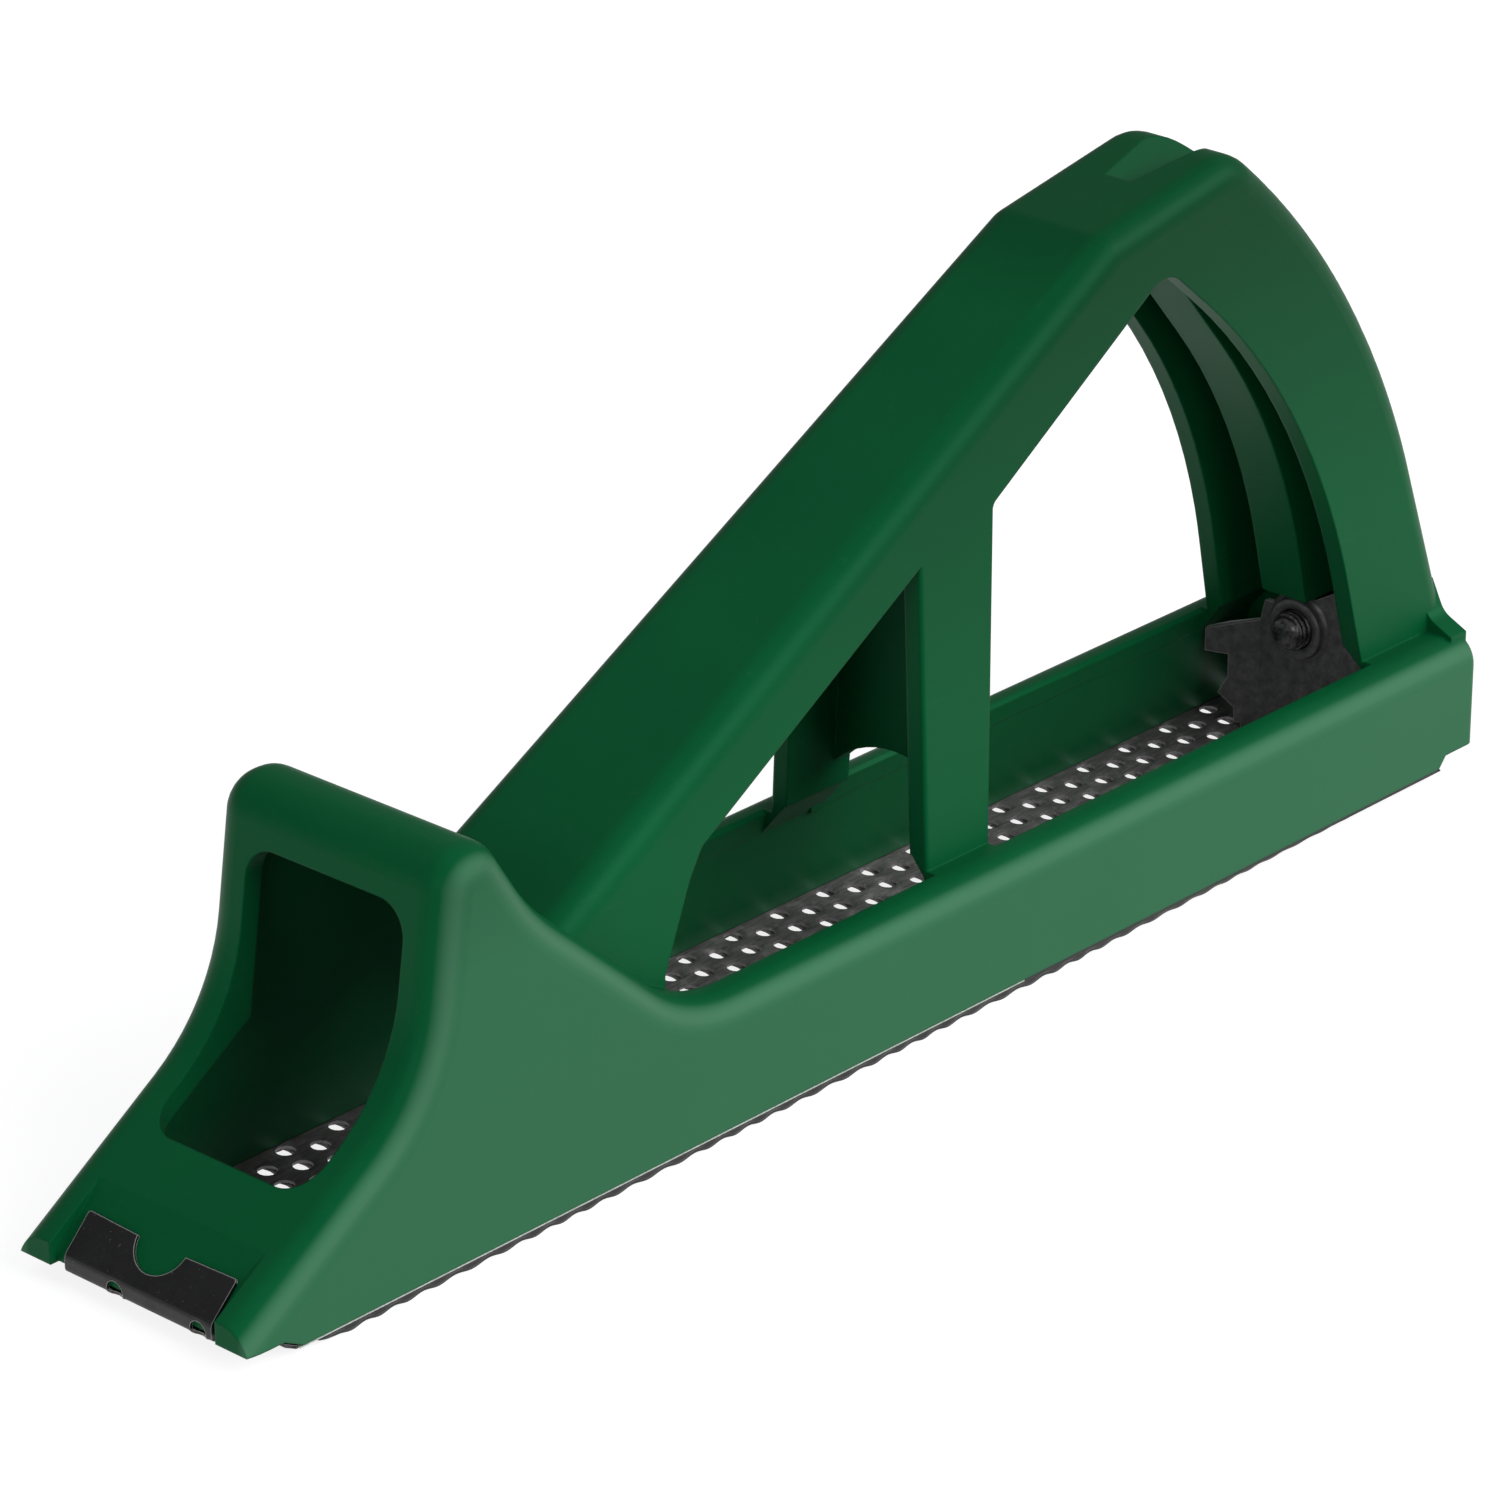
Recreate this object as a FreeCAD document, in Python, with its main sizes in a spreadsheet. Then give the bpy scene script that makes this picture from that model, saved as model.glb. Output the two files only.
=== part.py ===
# Plaster plane: a one-piece moulded body, a grater blade under its sole, and the clip and
# screw at the heel that pull the blade tight over the toe.
# Shapes are drawn with x counted from the tip of the toe and height from the flat sole;
# each finished piece is then placed so that the middle of the tooth tips is the origin.
import math
import os
import re

import FreeCAD
import Part
import Sketcher

doc = FreeCAD.newDocument("PlasterPlane")
sheet = doc.addObject("Spreadsheet::Sheet", "Sizes")

SIZES = [
    # whole tool, millimetres
    ("overall_length", 250),
    ("overall_width", 42),
    ("flank_round", 4.6),
    # toe: blunt nose, ramp and the lifted ends of the sole
    ("nose_top_height", 4.9),
    ("toe_lift", 1.7),
    ("toe_lift_run", 6),
    ("toe_lift_end", 9.3),
    ("heel_lift_run", 7),
    ("heel_lift_end", 8.5),
    ("ramp_end_x", 32),
    ("ramp_end_height", 25.8),
    ("ramp_hollow_radius", 26),
    # front knob
    ("crest_front_x", 36.4),
    ("crest_height", 55.9),
    ("crest_radius", 5.6),
    ("crest_flat_share", 1.54),
    ("knee_x", 53),
    ("knee_height", 43.6),
    ("knee_radius", 36),
    ("rail_start_x", 81.5),
    ("rail_start_radius", 23),
    ("rail_height", 18.8),
    ("heel_corner_radius", 1.6),
    # handle: straight bar, top plate and rear arch
    ("handle_foot_x", 52),
    ("handle_foot_height", 29),
    ("handle_low_height", 10),
    ("handle_low_half_width", 14.7),
    ("handle_high_height", 110),
    ("handle_high_half_width", 10.6),
    ("bar_bend_x", 174.5),
    ("bar_bend_height", 97.7),
    ("bar_bend_radius", 5),
    ("peak_x", 203),
    ("peak_height", 103.1),
    ("peak_radius", 9),
    ("arch_knee_x", 233.5),
    ("arch_knee_height", 77.1),
    ("arch_radius", 120),
    ("arch_foot_height", 26.2),
    ("handle_round", 4.2),
    ("heel_web_foot", 18.8),
    ("heel_web_low_height", 18.9),
    ("heel_web_waist", 14.6),
    ("heel_web_waist_height", 20.9),
    ("heel_web_round", 3.5),
    ("heel_web_top", 12.3),
    ("heel_web_height", 25.6),
    ("heel_web_depth", 4),
    ("heel_web_inset", 0.3),
    # hollow of the knob
    ("hollow_front_x", 16),
    ("hollow_front_height", 11.7),
    ("hollow_knee_x", 34.8),
    ("hollow_knee_height", 24),
    ("hollow_top_front_x", 39),
    ("hollow_top_height", 52.6),
    ("hollow_top_back_x", 44.8),
    ("hollow_back_x", 51.7),
    ("hollow_back_height", 41),
    ("hollow_end_x", 79.3),
    ("hollow_end_height", 16.7),
    ("hollow_low_half_width", 19.6),
    ("hollow_high_half_width", 15.6),
    # trough between the rails
    ("trough_end_x", 243),
    ("trough_height", 15),
    ("trough_mouth_half_width", 15.2),
    ("mouth_low_height", 12),
    ("mouth_bevel", 0.6),
    # hollow of the handle
    ("channel_start_x", 70),
    ("channel_start_height", 35.6),
    ("channel_roof_start_x", 176.4),
    ("channel_roof_height", 95.4),
    ("channel_roof_end_x", 198),
    ("channel_knee_x", 230.6),
    ("channel_knee_height", 75),
    ("channel_arch_radius", 100),
    ("channel_foot_x", 244.3),
    ("channel_foot_height", 34),
    ("channel_low_half_width", 11.6),
    ("channel_high_half_width", 7.7),
    ("shoulder_low_height", 15),
    ("shoulder_high_height", 20.5),
    # front opening of the handle
    ("front_gap_foot_x", 81.2),
    ("front_gap_sill_x", 82),
    ("front_gap_sill_height", 22),
    ("front_gap_side_x", 87.3),
    ("front_gap_side_height", 33.8),
    ("front_gap_kink_x", 89.8),
    ("front_gap_kink_height", 37.6),
    ("front_gap_rear_x", 133.8),
    ("front_gap_top_height", 62.9),
    # rear opening, round the fingers
    ("rear_gap_front_x", 146.5),
    ("rear_gap_front_top_x", 148.8),
    ("rear_gap_front_height", 67.5),
    ("rear_gap_peak_x", 186.3),
    ("rear_gap_peak_height", 90.6),
    ("rear_gap_peak_radius", 5),
    ("rear_gap_knee_x", 219.3),
    ("rear_gap_knee_height", 62.4),
    ("rear_gap_radius", 100),
    ("rear_gap_foot_x", 230.6),
    ("rear_gap_foot_height", 17.5),
    ("gap_corner_radius", 1.6),
    ("post_round", 0.6),
    # web across the back of the post, with its round opening
    ("web_front_x", 143.5),
    ("web_rear_x", 151),
    ("web_top_height", 92),
    ("web_hole_radius", 15.5),
    ("web_hole_height", 13.6),
    # rib in the middle of the arch
    ("rib_half_thickness", 4),
    ("rib_front_x", 190.5),
    ("rib_front_height", 92.3),
    ("rib_top_x", 200),
    ("rib_top_height", 96.8),
    ("rib_outer_knee_x", 231.6),
    ("rib_outer_knee_height", 75.8),
    ("rib_outer_radius", 98),
    ("rib_foot_rear_x", 245.4),
    ("rib_foot_height", 25.3),
    ("rib_foot_front_x", 230),
    ("rib_inner_knee_x", 222.7),
    ("rib_inner_knee_height", 54.6),
    ("rib_inner_radius", 95),
    # window in the face of the knob
    ("knob_gap_half_width", 14.1),
    ("knob_gap_low_height", 8),
    ("knob_gap_side_height", 32),
    ("knob_gap_top_height", 48.3),
    ("knob_gap_outside_x", 28),
    ("knob_gap_inside_x", 43),
    ("knob_gap_round", 4.6),
    # recess of the toe that takes the hooked end of the blade
    ("recess_half_width", 15),
    ("recess_front_x", 1.45),
    ("recess_front_height", 3.15),
    ("recess_floor_x", 6.9),
    ("recess_floor_height", 8.52),
    ("recess_top_x", 11),
    ("recess_top_height", 13),
    # notch on top of the handle for hanging the tool up
    ("notch_start_x", 189),
    ("notch_end_x", 215),
    ("notch_low_height", 97.8),
    ("notch_top_height", 106),
    ("notch_half_width", 7.5),
    # screw and its seat in the heel
    ("screw_height", 19.1),
    ("screw_radius", 3),
    ("screw_bore_radius", 3.15),
    ("screw_tip_x", 229.8),
    ("screw_tip_bevel", 1),
    ("screw_neck_x", 246.1),
    ("screw_head_radius", 5),
    ("screw_head_length", 3.4),
    ("seat_radius", 5.5),
    ("seat_depth", 4),
    # tension clip, pressed from sheet
    ("clip_front_x", 234),
    ("clip_sheet", 1),
    ("clip_collar_radius", 4.7),
    ("clip_collar_length", 1.3),
    ("clip_bore_radius", 3.06),
    ("clip_peak_half_width", 9.9),
    ("clip_peak_height", 28.3),
    ("clip_notch_half_width", 1.2),
    ("clip_notch_height", 21.8),
    ("clip_shoulder_half_width", 6.5),
    ("clip_shoulder_height", 21.6),
    ("clip_waist_half_width", 7.3),
    ("clip_waist_height", 18.2),
    ("clip_wing_height", 15.2),
    ("clip_wing_half_width", 15.6),
    ("clip_wing_low_height", 11.6),
    ("clip_hip_half_width", 12.1),
    ("clip_hip_height", 8),
    ("clip_foot_half_width", 13.5),
    ("clip_foot_height", 5.2),
    ("clip_toe_half_width", 11),
    ("clip_toe_height", 3.2),
    ("clip_low_height", 0.6),
    ("clip_hook_inner", 7),
    ("clip_hook_outer", 10),
    ("clip_hook_drop", 0.5),
    # grater blade
    ("blade_gap", 0.05),
    ("blade_sheet", 0.6),
    ("blade_start_x", 7.5),
    ("blade_bend_x", 9),
    ("blade_end_x", 242.6),
    ("blade_tongue_half_width", 13.4),
    ("blade_tongue_slot", 0.4),
    ("lip_front_x", 0.8),
    ("lip_low_height", 0.9),
    ("lip_fold_height", 3.4),
    ("lip_top_x", 5.2),
    ("lip_top_height", 7.75),
    ("lip_notch_radius", 4.4),
    ("lip_notch_x", 5.5),
    ("lip_notch_height", 7.6),
    ("lip_notch_depth", 4),
    ("blade_slot_clearance", 0.2),
    ("hole_radius", 1.05),
    ("hole_row_pitch_x", 9.61),
    ("hole_shift_x", 4.17),
    ("hole_shift_y", 2.25),
    ("hole_first_x", 9.85),
    ("hole_field_end_x", 238.6),
    ("hole_field_half_width", 19.2),
    ("tooth_height", 0.9),
    ("tooth_length", 1.5),
]

for row, (name, value) in enumerate(SIZES, start=1):
    sheet.set("A%d" % row, name)
    sheet.set("B%d" % row, str(value))
    sheet.setAlias("B%d" % row, name)
doc.recompute()

NAMES = re.compile(r"[a-z]+(?:_[a-z]+)+")


def bound(text):
    return NAMES.sub(lambda match: "Sizes." + match.group(0), text)


def size(text):
    return float(sheet.evalExpression(text))


def sketch_on(body, name, role, points, offset=None):
    """A closed outline of straight lines, each corner tied to the sizes."""
    sketch = body.newObject("Sketcher::SketchObject", name)
    plane = [item for item in body.Origin.OriginFeatures if item.Role == role][0]
    sketch.AttachmentSupport = [(plane, "")]
    sketch.MapMode = "FlatFace"
    if offset:
        sketch.setExpression(".AttachmentOffset.Base.z", bound(offset))
    add_outline(sketch, points)
    return sketch


def add_outline(sketch, points):
    first = sketch.GeometryCount
    count = len(points)
    places = [FreeCAD.Vector(size(a), size(b), 0) for a, b in points]
    for index in range(count):
        line = Part.LineSegment(places[index], places[(index + 1) % count])
        sketch.addGeometry(line, False)
    for index in range(count):
        after = (index + 1) % count
        sketch.addConstraint(
            Sketcher.Constraint("Coincident", first + index, 2, first + after, 1))
    for index, (across, up) in enumerate(points):
        for kind, text, value in (("DistanceX", across, places[index].x),
                                  ("DistanceY", up, places[index].y)):
            held = sketch.addConstraint(
                Sketcher.Constraint(kind, -1, 1, first + index, 1, value))
            sketch.setExpression("Constraints[%d]" % held, bound(text))


def pad(body, name, sketch, length, both_ways=True):
    feature = body.newObject("PartDesign::Pad", name)
    feature.Profile = sketch
    feature.setExpression("Length", bound(length))
    if both_ways:
        feature.SideType = "Symmetric"
    sketch.Visibility = False
    doc.recompute()
    return feature


def round_edges(body, name, base, radius, chosen):
    names = ["Edge%d" % (index + 1) for index, edge in enumerate(base.Shape.Edges)
             if chosen(edge)]
    feature = body.newObject("PartDesign::Fillet", name)
    feature.Base = (base, names)
    feature.setExpression("Radius", bound(radius))
    doc.recompute()
    return feature


def near(a, b):
    return abs(a - b) < size("overall_length") / 100000


def crosswise_at(corners):
    """Chooser of the edges that run across the tool at the given corners of its side view."""
    spots = [(size(a), size(b)) for a, b in corners]

    def chosen(edge):
        ends = [vertex.Point for vertex in edge.Vertexes]
        if len(ends) != 2:
            return False
        if not (near(ends[0].x, ends[1].x) and near(ends[0].z, ends[1].z)):
            return False
        return any(near(ends[0].x, x) and near(ends[0].z, z) for x, z in spots)

    return chosen


def taper(body, name, low_half, low_height, high_half, high_height):
    """Cuts both flanks away so that the piece grows narrower upward, as a moulding must."""
    sketch = body.newObject("Sketcher::SketchObject", name + "Sketch")
    plane = [item for item in body.Origin.OriginFeatures if item.Role == "YZ_Plane"][0]
    sketch.AttachmentSupport = [(plane, "")]
    sketch.MapMode = "FlatFace"
    for sign in ("", "-"):
        add_outline(sketch, [
            (sign + low_half, low_height),
            (sign + "overall_width", low_height),
            (sign + "overall_width", high_height),
            (sign + high_half, high_height),
        ])
    before = body.Shape.Volume
    feature = body.newObject("PartDesign::Pocket", name)
    feature.Profile = sketch
    feature.setExpression("Length", bound("overall_length * 3"))
    feature.SideType = "Symmetric"
    sketch.Visibility = False
    doc.recompute()
    if not body.Shape.Volume < before:
        raise RuntimeError(name + " cuts nothing")
    return feature


def blank(name, points, width):
    """A straight-sided piece drawn in side view and made equally thick to both sides."""
    body = doc.addObject("PartDesign::Body", name)
    sketch = sketch_on(body, name + "Outline", "XZ_Plane", points)
    return body, pad(body, name + "Pad", sketch, width)


def joined(name, parts):
    feature = doc.addObject("Part::MultiFuse", name)
    feature.Shapes = parts
    doc.recompute()
    return feature


def cut(name, base, tool):
    feature = doc.addObject("Part::Cut", name)
    feature.Base = base
    feature.Tool = tool
    doc.recompute()
    return feature


def cylinder_along(name, radius, start, length, height, across="0"):
    """A round bar or bore that runs along the tool."""
    feature = doc.addObject("Part::Cylinder", name)
    feature.setExpression("Radius", bound(radius))
    feature.setExpression("Height", bound(length))
    feature.Placement = FreeCAD.Placement(
        FreeCAD.Vector(0, 0, 0), FreeCAD.Rotation(FreeCAD.Vector(0, 1, 0), 90))
    feature.setExpression(".Placement.Base.x", bound(start))
    feature.setExpression(".Placement.Base.y", bound(across))
    feature.setExpression(".Placement.Base.z", bound(height))
    doc.recompute()
    return feature


def box(name, x, length, y, width, z, height):
    feature = doc.addObject("Part::Box", name)
    for prop, text in (("Length", length), ("Width", width), ("Height", height),
                       (".Placement.Base.x", x), (".Placement.Base.y", y),
                       (".Placement.Base.z", z)):
        feature.setExpression(prop, bound(text))
    doc.recompute()
    return feature


# The body blank: toe ramp, knob and rails in one outline as wide as the tool
crest_back = "crest_front_x + crest_radius * crest_flat_share"
under = "-overall_width"
block, block_pad = blank("BlockBlank", [
    ("0", under),
    ("0", "nose_top_height"),
    ("ramp_end_x", "ramp_end_height"),
    ("crest_front_x", "crest_height"),
    (crest_back, "crest_height"),
    ("knee_x", "knee_height"),
    ("rail_start_x", "rail_height"),
    ("overall_length", "rail_height"),
    ("overall_length", under),
], "overall_width")
last = block_pad
for label, radius, corners in (
        ("RampHollow", "ramp_hollow_radius", [("ramp_end_x", "ramp_end_height")]),
        ("CrestRound", "crest_radius", [("crest_front_x", "crest_height"),
                                        (crest_back, "crest_height")]),
        ("KneeRound", "knee_radius", [("knee_x", "knee_height")]),
        ("RailStart", "rail_start_radius", [("rail_start_x", "rail_height")])):
    last = round_edges(block, label, last, radius, crosswise_at(corners))


def on_flank_above_sole(edge):
    half = size("overall_width / 2")
    box_of = edge.BoundBox
    flat = near(box_of.YMin, box_of.YMax) and near(abs(box_of.YMin), half)
    return flat and box_of.ZMin > 0 and box_of.XLength > 0


def ramp_edges(edge):
    box_of = edge.BoundBox
    return on_flank_above_sole(edge) and near(box_of.XMin, 0)


last = round_edges(block, "FlankRound", last, "flank_round", ramp_edges)
last = round_edges(block, "HeelCorner", last, "heel_corner_radius",
                   crosswise_at([("overall_length", "rail_height")]))

# The underside: flat sole with lifted ends, cut straight across
sole_sketch = sketch_on(block, "SoleOutline", "XZ_Plane", [
    ("-overall_width", under + " * 2"),
    ("-overall_width", "toe_lift"),
    ("toe_lift_run", "toe_lift"),
    ("toe_lift_end", "0"),
    ("overall_length - heel_lift_end", "0"),
    ("overall_length - heel_lift_run", "toe_lift"),
    ("overall_length * 2", "toe_lift"),
    ("overall_length * 2", under + " * 2"),
])
before = block.Shape.Volume
sole = block.newObject("PartDesign::Pocket", "SoleCut")
sole.Profile = sole_sketch
sole.setExpression("Length", bound("overall_width * 2"))
sole.SideType = "Symmetric"
doc.recompute()


def mouth_cut(name, start, end):
    """Opens the block between its rails over a stretch of its length, wider toward the sole."""
    sketch = sketch_on(block, name + "Outline", "YZ_Plane", [
        ("-hollow_low_half_width", "-rail_height"),
        ("-hollow_low_half_width", "0"),
        ("-trough_mouth_half_width", "rail_height - mouth_bevel"),
        ("-(trough_mouth_half_width + mouth_bevel)", "rail_height"),
        ("-(trough_mouth_half_width + mouth_bevel)", "rail_height * 2"),
        ("trough_mouth_half_width + mouth_bevel", "rail_height * 2"),
        ("trough_mouth_half_width + mouth_bevel", "rail_height"),
        ("trough_mouth_half_width", "rail_height - mouth_bevel"),
        ("hollow_low_half_width", "0"),
        ("hollow_low_half_width", "-rail_height"),
    ], end)
    before = block.Shape.Volume
    feature = block.newObject("PartDesign::Pocket", name)
    feature.Profile = sketch
    feature.setExpression("Length", bound(end + " - " + start))
    sketch.Visibility = False
    doc.recompute()
    if not block.Shape.Volume < before:
        raise RuntimeError(name + " cuts nothing")
    return feature


mouth_cut("FrontMouth", "rail_start_x", "front_gap_rear_x")
mouth_cut("RearMouth", "rear_gap_front_x", "rear_gap_foot_x")

# The handle blank: bar, top plate and arch, narrower toward the top
handle, last = blank("HandleBlank", [
    ("handle_foot_x", "handle_low_height"),
    ("handle_foot_x", "handle_foot_height"),
    ("bar_bend_x", "bar_bend_height"),
    ("peak_x", "peak_height"),
    ("arch_knee_x", "arch_knee_height"),
    ("overall_length", "arch_foot_height"),
    ("overall_length", "handle_low_height"),
], "overall_width")
for label, radius, corner in (
        ("BarBend", "bar_bend_radius", ("bar_bend_x", "bar_bend_height")),
        ("PeakRound", "peak_radius", ("peak_x", "peak_height")),
        ("ArchRound", "arch_radius", ("arch_knee_x", "arch_knee_height"))):
    last = round_edges(handle, label, last, radius, crosswise_at([corner]))
last = taper(handle, "HandleTaper", "handle_low_half_width", "handle_low_height",
             "handle_high_half_width", "handle_high_height")


def handle_top_edges(edge):
    box_of = edge.BoundBox
    lies_on_side = abs(box_of.Center.y) > size("handle_high_half_width") / 2
    on_top = box_of.ZMin > size("arch_foot_height") - size("overall_width") / 1000
    return lies_on_side and on_top and box_of.XLength > size("heel_corner_radius") / 2


last = round_edges(handle, "HandleRound", last, "handle_round", handle_top_edges)


def gap_cut(name, points):
    """An opening right through the handle from side to side."""
    sketch = sketch_on(handle, name + "Outline", "XZ_Plane", points)
    feature = handle.newObject("PartDesign::Pocket", name)
    feature.Profile = sketch
    feature.setExpression("Length", bound("overall_width * 2"))
    feature.SideType = "Symmetric"
    sketch.Visibility = False
    doc.recompute()
    return feature


# The front opening under the bar and the rear one round the fingers
gap_cut("FrontGap", [
    ("front_gap_foot_x", "0"),
    ("front_gap_sill_x", "front_gap_sill_height"),
    ("front_gap_side_x", "front_gap_side_height"),
    ("front_gap_kink_x", "front_gap_kink_height"),
    ("front_gap_rear_x", "front_gap_top_height"),
    ("front_gap_rear_x", "0"),
])
last = gap_cut("RearGap", [
    ("rear_gap_front_x", "0"),
    ("rear_gap_front_x", "rail_height"),
    ("rear_gap_front_top_x", "rear_gap_front_height"),
    ("rear_gap_peak_x", "rear_gap_peak_height"),
    ("rear_gap_knee_x", "rear_gap_knee_height"),
    ("rear_gap_foot_x", "rear_gap_foot_height"),
    ("rear_gap_foot_x", "0"),
])
for label, radius, corners in (
        ("GapCorners", "gap_corner_radius", [
            ("front_gap_side_x", "front_gap_side_height"),
            ("front_gap_kink_x", "front_gap_kink_height"),
            ("rear_gap_front_top_x", "rear_gap_front_height")]),
        ("RearGapPeak", "rear_gap_peak_radius",
         [("rear_gap_peak_x", "rear_gap_peak_height")]),
        ("RearGapArch", "rear_gap_radius", [("rear_gap_knee_x", "rear_gap_knee_height")])):
    last = round_edges(handle, label, last, radius, crosswise_at(corners))


def post_edges(edge):
    """The two upright edges on the front of the post."""
    box_of = edge.BoundBox
    upright = near(box_of.XLength, 0) and near(box_of.XMin, size("front_gap_rear_x"))
    return upright and box_of.ZLength > size("rail_height")


last = round_edges(handle, "PostRound", last, "post_round", post_edges)

# End wall at the heel that flares from the arch out to the rails
heel_web = doc.addObject("PartDesign::Body", "HeelWeb")
heel_sketch = sketch_on(heel_web, "HeelWebOutline", "YZ_Plane", [
    ("-heel_web_foot", "rail_height / 2"),
    ("-heel_web_foot", "heel_web_low_height"),
    ("-heel_web_waist", "heel_web_waist_height"),
    ("-heel_web_top", "heel_web_height"),
    ("heel_web_top", "heel_web_height"),
    ("heel_web_waist", "heel_web_waist_height"),
    ("heel_web_foot", "heel_web_low_height"),
    ("heel_web_foot", "rail_height / 2"),
], "overall_length - heel_web_depth")
last = pad(heel_web, "HeelWebPad", heel_sketch, "heel_web_depth - heel_web_inset",
           both_ways=False)


def web_waist(edge):
    box_of = edge.BoundBox
    along = near(box_of.YLength, 0) and near(box_of.ZLength, 0)
    return along and near(box_of.ZMin, size("heel_web_waist_height"))


round_edges(heel_web, "HeelWebRound", last, "heel_web_round", web_waist)
solid = joined("SolidBody", [block, handle, heel_web])

# Hollow of the knob, open downward
knob_hollow, last = blank("KnobHollow", [
    ("hollow_front_x", under),
    ("hollow_front_x", "hollow_front_height"),
    ("hollow_knee_x", "hollow_knee_height"),
    ("hollow_top_front_x", "hollow_top_height"),
    ("hollow_top_back_x", "hollow_top_height"),
    ("hollow_back_x", "hollow_back_height"),
    ("hollow_end_x", "hollow_end_height"),
    ("hollow_end_x", under),
], "overall_width")
taper(knob_hollow, "KnobHollowTaper", "hollow_low_half_width", "0",
      "hollow_high_half_width", "crest_height")

# Trough between the rails, wider toward the sole
trough_top = ("(hollow_low_half_width - (hollow_low_half_width - trough_mouth_half_width)"
              " * trough_height / rail_height)")
trough, last = blank("Trough", [
    ("hollow_front_x", "0"),
    ("hollow_front_x", "hollow_front_height"),
    ("hollow_end_x", "trough_height"),
    ("trough_end_x", "trough_height"),
    ("trough_end_x", "0"),
], "overall_width")
taper(trough, "TroughTaper", "hollow_low_half_width", "0", trough_top, "trough_height")

# Hollow of the bar, the top plate and the arch
channel, last = blank("Channel", [
    ("channel_start_x", "mouth_low_height"),
    ("channel_start_x", "channel_start_height"),
    ("channel_roof_start_x", "channel_roof_height"),
    ("channel_roof_end_x", "channel_roof_height"),
    ("channel_knee_x", "channel_knee_height"),
    ("channel_foot_x", "channel_foot_height"),
    ("trough_end_x", "screw_height + seat_radius"),
    ("trough_end_x", "mouth_low_height"),
], "overall_width")
last = round_edges(channel, "ChannelArch", last, "channel_arch_radius",
                   crosswise_at([("channel_knee_x", "channel_knee_height")]))
taper(channel, "ChannelTaper", "channel_low_half_width", "mouth_low_height",
      "channel_high_half_width", "handle_high_height")

# Sloping shoulders that lead from the trough up into the hollow of the handle
shoulder = doc.addObject("PartDesign::Body", "Shoulder")
shoulder_sketch = sketch_on(shoulder, "ShoulderOutline", "YZ_Plane", [
    ("-" + trough_top, "mouth_low_height"),
    ("-" + trough_top, "shoulder_low_height"),
    ("-channel_low_half_width", "shoulder_high_height"),
    ("channel_low_half_width", "shoulder_high_height"),
    (trough_top, "shoulder_low_height"),
    (trough_top, "mouth_low_height"),
], "hollow_end_x")
pad(shoulder, "ShoulderPad", shoulder_sketch, "trough_end_x - hollow_end_x",
    both_ways=False)
handle_core = joined("HandleCore", [channel, shoulder])

# Web across the back of the post, with a round opening that lets shavings pass
web, last = blank("Web", [
    ("web_front_x", "mouth_low_height"),
    ("web_front_x", "web_top_height"),
    ("web_rear_x", "web_top_height"),
    ("web_rear_x", "mouth_low_height"),
], "overall_width")
web_hole = cylinder_along("WebHole", "web_hole_radius", "web_front_x - web_hole_radius",
                          "web_hole_radius * 3", "web_hole_height")
open_web = cut("OpenWeb", web, web_hole)

# Stiffening rib in the middle of the arch
rib, last = blank("Rib", [
    ("rib_front_x", "rib_front_height"),
    ("rib_front_x", "rib_top_height"),
    ("rib_top_x", "rib_top_height"),
    ("rib_outer_knee_x", "rib_outer_knee_height"),
    ("rib_foot_rear_x", "rib_foot_height"),
    ("rib_foot_front_x", "rib_foot_height"),
    ("rib_inner_knee_x", "rib_inner_knee_height"),
], "rib_half_thickness * 2")
for label, radius, corner in (
        ("RibOuter", "rib_outer_radius", ("rib_outer_knee_x", "rib_outer_knee_height")),
        ("RibInner", "rib_inner_radius", ("rib_inner_knee_x", "rib_inner_knee_height"))):
    last = round_edges(rib, label, last, radius, crosswise_at([corner]))

kept = joined("KeptInside", [open_web, rib])
hollow = cut("HandleHollow", handle_core, kept)

# Window in the face of the knob
knob_gap, last = blank("KnobGap", [
    ("hollow_front_x", "knob_gap_low_height"),
    ("hollow_front_x", "knob_gap_side_height"),
    ("knob_gap_outside_x", "knob_gap_top_height"),
    ("knob_gap_inside_x", "knob_gap_top_height"),
    ("knob_gap_inside_x", "knob_gap_low_height"),
], "knob_gap_half_width * 2")


def knob_gap_corners(edge):
    box_of = edge.BoundBox
    front = near(box_of.XMin, size("hollow_front_x")) and near(box_of.XLength, 0)
    upright = front and near(box_of.YLength, 0)
    top = near(box_of.ZMin, size("knob_gap_top_height")) and near(box_of.YLength, 0)
    return upright or top


last = round_edges(knob_gap, "KnobGapRound", last, "knob_gap_round", knob_gap_corners)

# Recess of the toe for the hooked end of the blade
recess, last = blank("Recess", [
    ("-overall_width", under),
    ("recess_front_x", under),
    ("recess_front_x", "recess_front_height"),
    ("recess_floor_x", "recess_floor_height"),
    ("recess_top_x", "recess_top_height"),
    ("-overall_width", "recess_top_height"),
], "recess_half_width * 2")
lip_lean = math.degrees(math.atan2(size("lip_top_height - lip_fold_height"),
                                   size("lip_top_x - lip_front_x")))

# Notch on top for hanging the tool up, shaped like a letter V
notch = doc.addObject("PartDesign::Body", "Notch")
notch_sketch = sketch_on(notch, "NotchOutline", "YZ_Plane", [
    ("0", "notch_low_height"),
    ("notch_half_width", "notch_top_height"),
    ("-notch_half_width", "notch_top_height"),
], "notch_start_x")
pad(notch, "NotchPad", notch_sketch, "notch_end_x - notch_start_x", both_ways=False)

# Bore and seat of the screw through the heel
bore = cylinder_along("ScrewBore", "screw_bore_radius", "trough_end_x - seat_depth",
                      "overall_length", "screw_height")
seat = cylinder_along("ScrewSeat", "seat_radius", "overall_length - seat_depth",
                      "seat_depth * 2", "screw_height")

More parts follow.
